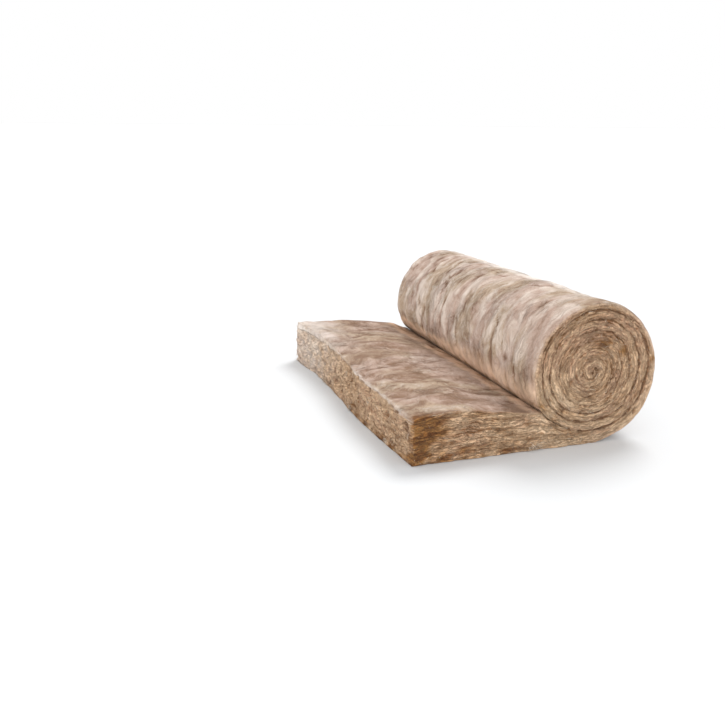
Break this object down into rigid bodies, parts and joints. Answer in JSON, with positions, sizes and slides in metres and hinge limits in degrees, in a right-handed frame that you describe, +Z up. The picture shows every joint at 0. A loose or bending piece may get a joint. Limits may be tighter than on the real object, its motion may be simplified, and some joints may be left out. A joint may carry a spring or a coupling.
{
  "type": "insulation roll",
  "caption": "Roll of mineral wool insulation blanket, part unrolled: its cut end lies flat as a thick tail and the rest is wound, pressed thin, into a round roll.",
  "frame": {"origin": "on the floor, under the middle of the whole object's box", "axes": "+Z up, +Y along the roll (across the blanket's width), +X along the blanket from its cut end to the roll"},
  "size_m": [0.8398, 1.2, 0.46],
  "materials": {
    "wool": "matt brown glass mineral wool, with a paler felted skin on its faces and darker layered fibre on its cut edges"
  },
  "bodies": {
    "root": {"blanket": "wool"}
  },
  "joints": []
}
